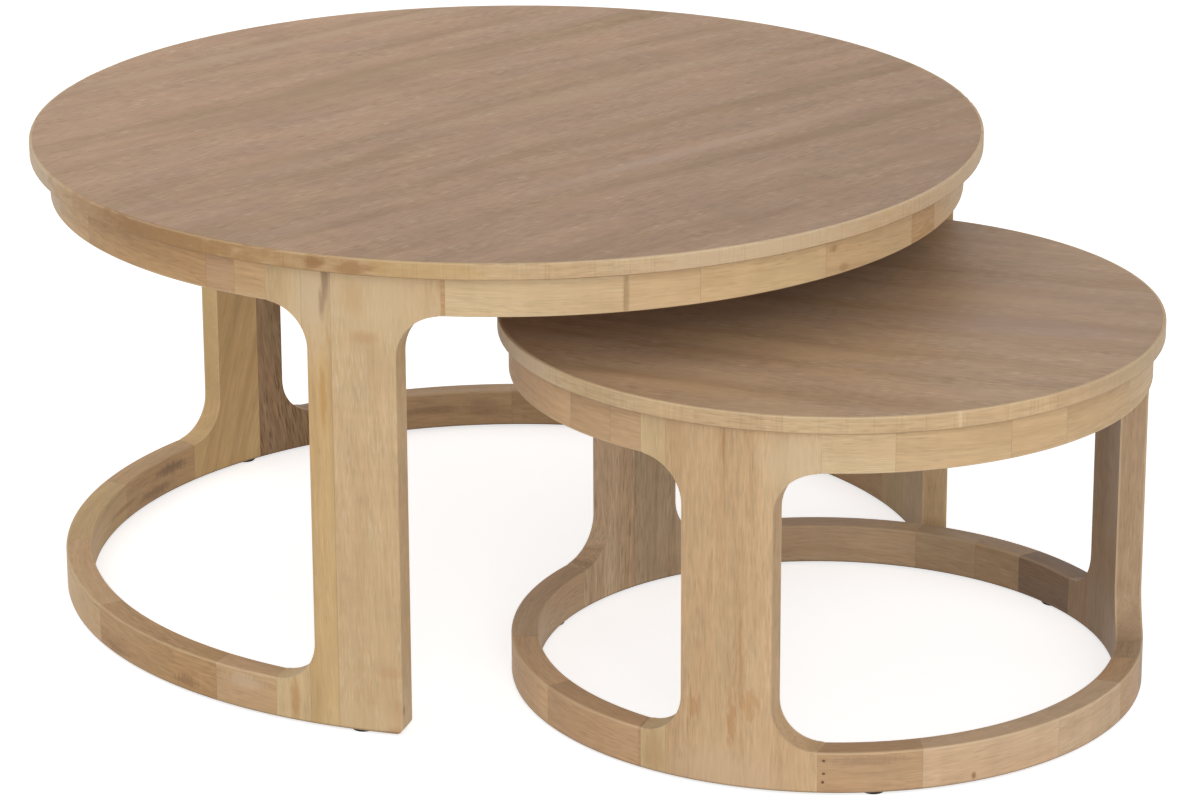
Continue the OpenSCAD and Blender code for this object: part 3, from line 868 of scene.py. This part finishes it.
# Each block of a rail or ring: the direction it starts at, and then the same
BLOCKS = {
    ("large", "rail", "outer"): [
        (-60, "light brown"), (-53.9, "pale", 1.08), (-33.3, "pale", 1.12),
        (-24.1, "straw", 1.08), (-6.4, "honey", 1.04, (0.0, 0.02, 0.10)), (10.5, "light brown"),
        (17, "honey"), (31, "straw")],
    ("large", "rail", "front"): [
        (174, "honey"), (206, "tan"), (228, "rosy pale", 1.03), (240.5, "orange tan", 1.07),
        (251.5, "light brown", 1.02, (0.03, 0.03, 0.04)), (274.9, "dun", 1.09),
        (279.1, "orange tan", 1.04)],
    ("large", "ring", "front"): [
        (174, "orange tan"), (204, "golden"), (226, "orange tan", 1.04),
        (250, "light brown", 0.95, (0.02, 0.02, 0.03)), (274.4, "tan", 1.03)],
    ("large", "ring", "back"): [
        (54, "tan"), (78, "brown"), (103, "tan"), (133, "tan", 1.04), (152, "streaked", 1.05)],
    ("small", "rail", "front"): [
        (171, "tan", 1.1), (203, "honey", 1.1), (232, "tan", 1.18, (0.03, 0.04, 0.03)),
        (258, "tan", 1.0, (0.02, 0.04, 0.02)), (268.0, "tan")],
    ("small", "rail", "outer"): [
        (-60, "pale"), (-39.3, "honey", 0.98, (0.02, 0.03, 0.06)), (-18.6, "honey"),
        (-6.5, "honey", 0.94), (13, "honey", 0.96), (28, "tan")],
    ("small", "ring", "front"): [
        (171, "grey tan", 1.25), (206, "grey tan", 1.2), (226, "tan", 1.28),
        (250, "dun", 1.1, (0.03, 0.05, 0.02)), (274.1, "brown")],
    ("small", "ring", "outer"): [
        (-60, "dun", 1.0, (0.05, 0.05, 0.0)), (-33.6, "rosy pale", 1.04), (-6, "rosy pale"),
        (14, "dun"), (26, "grey brown"), (38, "grey brown")],
    ("small", "ring", "back"): [
        (51, "umber"), (84.5, "grey tan", 0.86), (96, "grey tan", 0.96), (110, "grey tan", 1.12),
        (150, "grey tan")],
}

COMMON_WOODS = ("pale", "straw", "honey", "tan", "brown")
SHORTEST_BLOCK = 8                   # degrees
USUAL_BLOCK = (11, 26)               # shortest and longest, in degrees
RAIL_SEED, RING_SEED = 10, 30        # each side's piece counts on from these


def blocks_for(table, kind, side, seed):
    """The listed blocks of a band, or ones by chance where none are listed."""
    if (table.name, kind, side) in BLOCKS:
        return BLOCKS[table.name, kind, side]
    chance = random.Random(seed)
    here, last = table.span(side)
    blocks = []
    while here < last - SHORTEST_BLOCK:
        blocks.append((here, chance.choice(COMMON_WOODS)))
        here += chance.uniform(*USUAL_BLOCK)
    return blocks


FRAME_WOOD = frame_wood()

for table in (LARGE, SMALL):
    legs = [make_leg(table, leg, LEG_STAVES[table.name, leg], n) for n, leg in enumerate(LEGS)]
    rails, rings = [], []
    for n, side in enumerate(SIDES):
        rails.append(make_band(table, "rail", side, table.rail_z, RAIL_H, False,
                               blocks_for(table, "rail", side, n), RAIL_SEED + n))
        if side in table.rings:
            rings.append(make_band(table, "ring", side, GLIDE_H, RING_H, True,
                                   blocks_for(table, "ring", side, n), RING_SEED + n))
    bore_rails(table, rails)
    for piece in legs + rails + rings:
        flat_facing(piece)

# ---- Brads ----

BRADS = ((-51.2, 0.0331), (-51.2, 0.0211), (-51.35, 0.0131))   # direction and height of each
BRAD_SIDES = 16
BRAD_STRETCH = 1.15                  # how much wider than high a head is
# A head's radius and how proud it is, at its rim, its lip and the edge of its dish
BRAD_PROFILE = ((0.0013, 0.0), (0.0011, 0.0001), (0.0005, 0.00002))


def make_brads():
    """Three brad heads beside a joint of the small ring, just proud of the wood and dished."""
    bm = bmesh.new()
    for degrees, z in BRADS:
        centre = SMALL.at(SMALL.outer_r, degrees, z)
        out = (centre - Vector((*SMALL.centre, z))).normalized()
        side = Vector((-out.y, out.x, 0))
        rings = []
        for r, proud in BRAD_PROFILE:
            rings.append([bm.verts.new(centre + out * proud +
                                       side * r * BRAD_STRETCH * math.cos(a) +
                                       Vector((0, 0, r * math.sin(a))))
                          for a in (math.tau * k / BRAD_SIDES for k in range(BRAD_SIDES))])
        for low, high in zip(rings, rings[1:]):
            for k in range(BRAD_SIDES):
                j = (k + 1) % BRAD_SIDES
                bm.faces.new((low[k], low[j], high[j], high[k]))
        bm.faces.new(rings[-1])
    for face in bm.faces:
        face.smooth = True
    mesh = bpy.data.meshes.new("small_ring_brads")
    bm.to_mesh(mesh)
    bm.free()
    mesh.materials.append(brad_steel())
    brads = bpy.data.objects.new("small_ring_brads", mesh)
    bpy.context.scene.collection.objects.link(brads)
    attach(brads, SMALL.body)


make_brads()

# ---- Tops, lipping and fittings ----

# Long bands on the tops: middle and size, both along the grain and across it, then colour,
# strength and raggedness
LARGE_TOP_PATCHES = [
    ((0.01, 0.371), (0.30, 0.011), (194, 164, 134), 0.45, 0.5),
    ((-0.07, 0.204), (0.26, 0.045), (162, 128, 92), 0.45, 0.8),
    ((0.07, -0.190), (0.20, 0.009), (186, 158, 138), 0.45, 0.5),
    ((0.17, -0.228), (0.16, 0.012), (146, 114, 84), 0.40, 0.5),
    ((0.15, -0.372), (0.10, 0.004), (144, 114, 88), 0.45, 0.5),
    ((0.13, 0.030), (0.18, 0.020), (180, 150, 116), 0.35, 0.9),
]
SMALL_TOP_PATCHES = [
    # light fibres
    ((-0.03, -0.121), (0.13, 0.020), (190, 156, 116), 0.50, 0.8),
    ((0.11, 0.069), (0.10, 0.016), (190, 156, 118), 0.45, 0.8),
    ((-0.04, -0.252), (0.09, 0.014), (186, 150, 112), 0.45, 0.8),
    # a greyer band, and a darker part to the right that is painted shade, where less light falls
    ((0.18, 0.000), (0.12, 0.030), (168, 140, 124), 0.50, 0.8),
    ((0.22, 0.06), (0.16, 0.12), (156, 126, 104), 0.30, 0.5),
]

# Patches on the lipping: direction, distance below the top's face, size, colour, strength and
# raggedness
LARGE_LIPPING_PATCHES = [
    (-18, LIP_MIDDLE, (0.10, 0.14, 0.4), (210, 186, 154), 0.70, 0.6),
    (16, LIP_MIDDLE, (0.10, 0.10, 0.4), (206, 180, 150), 0.50, 0.6),
    (-118, LIP_MIDDLE, (0.06, 0.08, 0.4), (204, 180, 150), 0.60, 0.6),
    (-92, LIP_MIDDLE, (0.15, 0.10, 0.4), (148, 106, 66), 0.78, 0.9),
    (-74, LIP_MIDDLE, (0.16, 0.10, 0.4), (174, 136, 90), 0.55, 1.0),
    (-56, LIP_MIDDLE, (0.07, 0.05, 0.4), (192, 158, 108), 0.60, 0.9),
    (-69.0, 0.0065, (0.012, 0.012, 0.006), (150, 108, 72), 0.75, 0.7),
    (-64.2, 0.0080, (0.018, 0.018, 0.007), (158, 118, 80), 0.70, 0.8),
    (-107, LIP_MIDDLE, (0.06, 0.06, 0.4), (194, 158, 118), 0.5, 1.0),
]
SMALL_LIPPING_PATCHES = [
    (-113, LIP_MIDDLE, (0.07, 0.06, 0.4), (220, 196, 164), 0.70, 0.6),
    (14, LIP_MIDDLE, (0.06, 0.11, 0.4), (182, 157, 126), 0.60, 0.6),
    (-29.5, LIP_MIDDLE, (0.002, 0.002, 0.02), (222, 200, 164), 0.45, 0.3),
]


def finish_node(node, material):
    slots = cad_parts[node].data.materials
    slots.clear()
    slots.append(material)


# The large top's lean is painted light, lighter towards the side where more light falls
finish_node("large_top_board", top_wood(
    "large top wood", LARGE, grain_angle=84, wood=tint(178, 143, 113), brown=tint(157, 125, 86),
    streaks=0.62, width=0.040, bend=0.0, lean=0.34, patches=LARGE_TOP_PATCHES))
finish_node("small_top_board", top_wood(
    "small top wood", SMALL, grain_angle=21, wood=tint(179, 148, 117), brown=tint(160, 126, 87),
    streaks=0.55, width=0.042, bend=-0.22, lean=0.0, patches=SMALL_TOP_PATCHES))
finish_node("large_top_lipping", lipping_wood(
    "large lipping wood", LARGE, joint=-42.4, pieces=12, patches=LARGE_LIPPING_PATCHES))
finish_node("small_top_lipping", lipping_wood(
    "small lipping wood", SMALL, joint=-28.4, pieces=8, patches=SMALL_LIPPING_PATCHES))
DOWEL_WOOD, SCREW_STEEL, GLIDE_PLASTIC = dowel_wood(), screw_steel(), glide_plastic()
for table in (LARGE, SMALL):
    finish_node(table.name + "_rail_dowels", DOWEL_WOOD)
    finish_node(table.name + "_ring_dowels", DOWEL_WOOD)
    finish_node(table.name + "_top_screws", SCREW_STEEL)
    finish_node(table.name + "_glides", GLIDE_PLASTIC)

# ---- Studio ----

WHITE = (1, 1, 1, 1)
ROOM_LIGHT = 0.56                    # strength at which the room lights the tables
FLOOR_HALF = 20
FLOOR_GREY = (0.75, 0.75, 0.75, 1)
FLOOR_GLOW = 0.70                    # added where the floor is seen, to bring it to white
LAMPS_AIM = (0.1, 0, 0.25)

scene = bpy.context.scene
scene.view_settings.view_transform = "Standard"


def light_room():
    """Even light from all round, which is seen as white."""
    world = bpy.data.worlds.new("studio")
    scene.world = world
    world.use_nodes = True
    w = world.node_tree
    w.nodes.clear()
    dim = add(w, "ShaderNodeBackground", {"Color": WHITE, "Strength": ROOM_LIGHT})
    white = add(w, "ShaderNodeBackground", {"Color": WHITE, "Strength": 1.0})
    both = add(w, "ShaderNodeMixShader", {0: seen_directly(w), 1: dim.outputs[0],
                                          2: white.outputs[0]})
    add(w, "ShaderNodeOutputWorld", {0: both.outputs[0]})


def floor_paint():
    """Matt white that keeps shadows, and is clear from below."""
    material, t = new_material("floor paint")
    matt = add(t, "ShaderNodeBsdfDiffuse", {"Color": FLOOR_GREY}).outputs[0]
    glow = add(t, "ShaderNodeEmission", {"Color": WHITE, "Strength": FLOOR_GLOW}).outputs[0]
    lit = add(t, "ShaderNodeAddShader", {0: matt, 1: glow}).outputs[0]
    above = add(t, "ShaderNodeMixShader", {0: seen_directly(t), 1: matt, 2: lit}).outputs[0]
    below = add(t, "ShaderNodeNewGeometry").outputs["Backfacing"]
    clear = add(t, "ShaderNodeBsdfTransparent").outputs[0]
    whole = add(t, "ShaderNodeMixShader", {0: below, 1: above, 2: clear}).outputs[0]
    add(t, "ShaderNodeOutputMaterial", {0: whole})
    return material


def lay_floor():
    mesh = bpy.data.meshes.new("floor")
    corners = ((-1, -1), (1, -1), (1, 1), (-1, 1))
    mesh.from_pydata([(x * FLOOR_HALF, y * FLOOR_HALF, 0) for x, y in corners], [],
                     [(0, 1, 2, 3)])
    floor = bpy.data.objects.new("floor", mesh)
    scene.collection.objects.link(floor)
    mesh.materials.append(floor_paint())


def soft_lamp(name, place, size, power):
    lamp = bpy.data.objects.new(name, bpy.data.lights.new(name, "AREA"))
    lamp.data.shape = "SQUARE"
    lamp.data.size = size
    lamp.data.energy = power
    lamp.location = place
    lamp.rotation_euler = (Vector(LAMPS_AIM) - Vector(place)).to_track_quat("-Z", "Y").to_euler()
    scene.collection.objects.link(lamp)


light_room()
lay_floor()
soft_lamp("front lamp", (2.96, -2.58, 1.65), size=2.2, power=54)
soft_lamp("left lamp", (-1.5, -1.6, 3.5), size=2.4, power=24)
soft_lamp("low lamp", (4.1, -0.71, 0.54), size=0.5, power=13)
